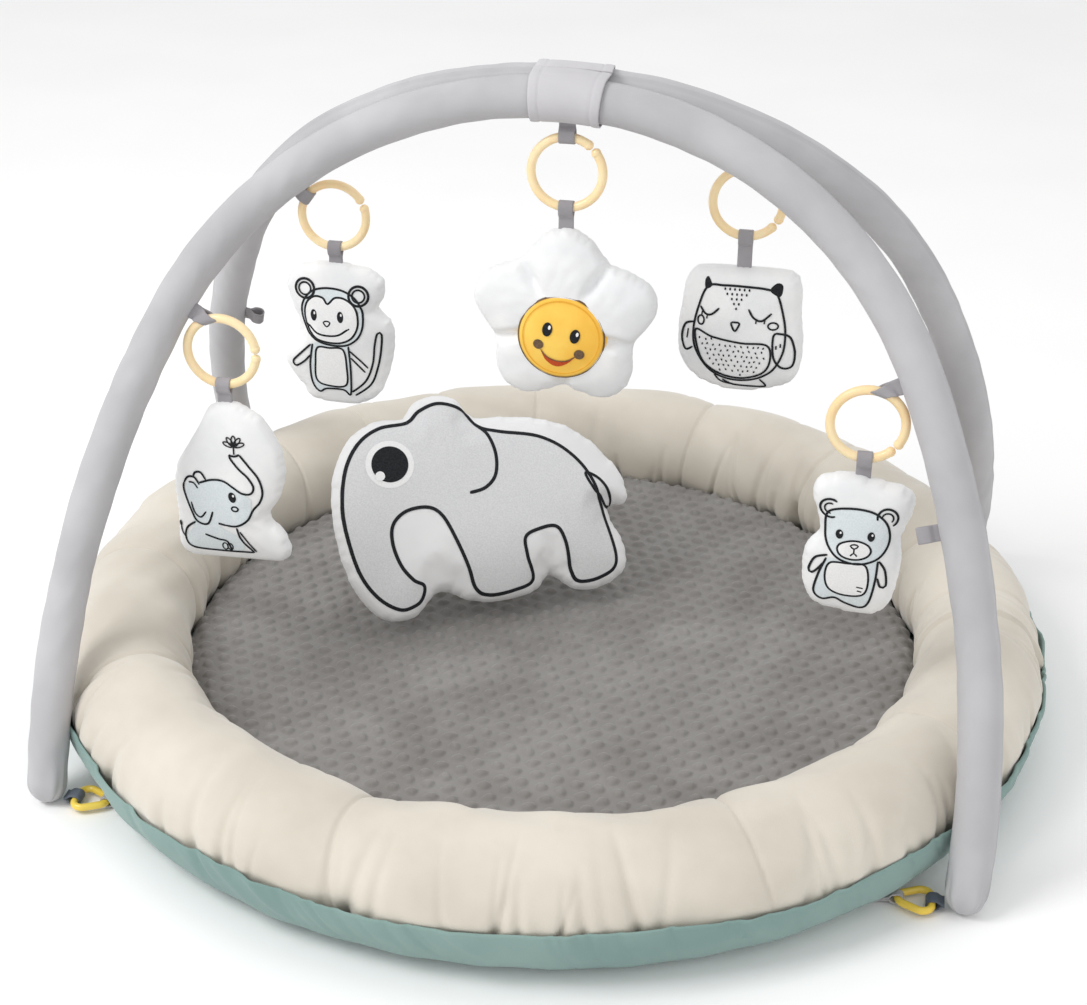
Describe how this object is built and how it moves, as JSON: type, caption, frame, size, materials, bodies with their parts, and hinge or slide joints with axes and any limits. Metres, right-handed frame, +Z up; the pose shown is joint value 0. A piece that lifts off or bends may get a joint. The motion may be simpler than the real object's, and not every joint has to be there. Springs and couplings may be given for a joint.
{
  "type": "activity play gym",
  "caption": "Round padded play nest with two soft crossing arches that carry hanging plush toys on rings, with a loose pillow.",
  "frame": {"origin": "middle of the nest's underside, on the floor", "axes": "+Z up, -Y to the front, X along the line between the feet of an arch"},
  "size_m": [0.926, 0.9259, 0.5979],
  "materials": {
    "base_fabric": "matt",
    "cream_velour": "matt",
    "polyester_filling": "matt",
    "grey_minky": "matt",
    "yellow_plastic": "gloss",
    "slate_webbing": "matt",
    "pale_webbing": "matt",
    "rod_plastic": "satin",
    "ferrule_metal": "satin",
    "cap_plastic": "satin",
    "foam": "matt",
    "sleeve_fabric": "matt",
    "wrap_fabric": "matt",
    "grey_webbing": "matt",
    "ring_plastic": "satin",
    "yellow_velour": "matt",
    "printed_cotton": "matt",
    "white_plush": "matt"
  },
  "bodies": {
    "base": {"base_cover": "base_fabric", "bolster_cover": "cream_velour", "bolster_filling": "polyester_filling", "mat_cover": "grey_minky", "mat_wadding": "polyester_filling", "anchor_loop_front_left": "pale_webbing", "anchor_loop_front_right": "pale_webbing", "anchor_loop_back_left": "pale_webbing", "anchor_loop_back_right": "pale_webbing", "hook_front_left": "yellow_plastic", "hook_front_right": "yellow_plastic", "hook_back_left": "yellow_plastic", "hook_back_right": "yellow_plastic", "foot_strap_front_left": "slate_webbing", "foot_strap_front_right": "slate_webbing", "foot_strap_back_left": "slate_webbing", "foot_strap_back_right": "slate_webbing"},
    "front_arch": {"front_rod": "rod_plastic", "front_ferrules": "ferrule_metal", "front_rod_caps": "cap_plastic", "front_foam": "foam", "front_sleeve": "sleeve_fabric", "front_wrap": "wrap_fabric", "front_spare_loop": "grey_webbing", "elephant_loop": "grey_webbing", "bear_loop": "grey_webbing", "star_loop": "grey_webbing"},
    "back_arch": {"back_rod": "rod_plastic", "back_ferrules": "ferrule_metal", "back_rod_caps": "cap_plastic", "back_foam": "foam", "back_sleeve": "sleeve_fabric", "back_wrap": "wrap_fabric", "back_spare_loop": "grey_webbing", "monkey_loop": "grey_webbing", "owl_loop": "grey_webbing"},
    "elephant_ring": {"elephant_ring": "ring_plastic"},
    "elephant_toy": {"elephant_tag": "grey_webbing", "elephant_cover": "white_plush", "elephant_filling": "polyester_filling"},
    "bear_ring": {"bear_ring": "ring_plastic"},
    "bear_toy": {"bear_tag": "grey_webbing", "bear_cover": "white_plush", "bear_filling": "polyester_filling"},
    "star_ring": {"star_ring": "ring_plastic"},
    "star_toy": {"star_tag": "grey_webbing", "star_cover": "white_plush", "star_filling": "polyester_filling", "star_face": "yellow_velour"},
    "monkey_ring": {"monkey_ring": "ring_plastic"},
    "monkey_toy": {"monkey_tag": "grey_webbing", "monkey_cover": "white_plush", "monkey_filling": "polyester_filling"},
    "owl_ring": {"owl_ring": "ring_plastic"},
    "owl_toy": {"owl_tag": "grey_webbing", "owl_cover": "white_plush", "owl_filling": "polyester_filling"},
    "pillow": {"pillow_cover": "printed_cotton", "pillow_filling": "polyester_filling"}
  },
  "joints": [
    {"name": "front_arch_fold", "type": "hinge", "parent": "base", "child": "front_arch", "pos_m": [0, -0.29484, 0.0189], "axis": [1, 0, 0], "range_deg": [0, 116]},
    {"name": "back_arch_fold", "type": "hinge", "parent": "base", "child": "back_arch", "pos_m": [0, 0.29484, 0.0189], "axis": [-1, 0, 0], "range_deg": [0, 116]},
    {"name": "elephant_ring_swing", "type": "hinge", "parent": "front_arch", "child": "elephant_ring", "pos_m": [-0.28557, -0.11096, 0.39096], "axis": [0.9336, 0, 0.3584], "range_deg": [-25, 12]},
    {"name": "elephant_toy_swing", "type": "hinge", "parent": "elephant_ring", "child": "elephant_toy", "pos_m": [-0.27446, -0.11096, 0.36202], "axis": [0, 1, 0], "range_deg": [-25, 12]},
    {"name": "bear_ring_swing", "type": "hinge", "parent": "front_arch", "child": "bear_ring", "pos_m": [0.29279, -0.11767, 0.37739], "axis": [0.9511, 0, -0.309], "range_deg": [-12, 25]},
    {"name": "bear_toy_swing", "type": "hinge", "parent": "bear_ring", "child": "bear_toy", "pos_m": [0.28321, -0.11767, 0.3479], "axis": [0, 1, 0], "range_deg": [-8, 25]},
    {"name": "star_ring_swing", "type": "hinge", "parent": "front_arch", "child": "star_ring", "pos_m": [0.012, -0.0188, 0.54393], "axis": [1, 0, 0], "range_deg": [-25, 25]},
    {"name": "star_toy_swing", "type": "hinge", "parent": "star_ring", "child": "star_toy", "pos_m": [0.012, -0.0188, 0.51293], "axis": [0, 1, 0], "range_deg": [-25, 25]},
    {"name": "monkey_ring_swing", "type": "hinge", "parent": "back_arch", "child": "monkey_ring", "pos_m": [-0.25256, 0.088, 0.43742], "axis": [-0.5878, 0, -0.809], "range_deg": [-15, 15]},
    {"name": "monkey_toy_swing", "type": "hinge", "parent": "monkey_ring", "child": "monkey_toy", "pos_m": [-0.22748, 0.088, 0.4192], "axis": [0, 1, 0], "range_deg": [-15, 20]},
    {"name": "owl_ring_swing", "type": "hinge", "parent": "back_arch", "child": "owl_ring", "pos_m": [0.16146, 0.05636, 0.50143], "axis": [-1, 0, 0], "range_deg": [-25, 25]},
    {"name": "owl_toy_swing", "type": "hinge", "parent": "owl_ring", "child": "owl_toy", "pos_m": [0.16146, 0.05636, 0.47043], "axis": [0, 1, 0], "range_deg": [-25, 25]},
    {"name": "pillow_lift_off", "type": "slide", "parent": "base", "child": "pillow", "axis": [0.4492, -0.8486, 0.2795], "range_m": [0, 0.18]}
  ]
}
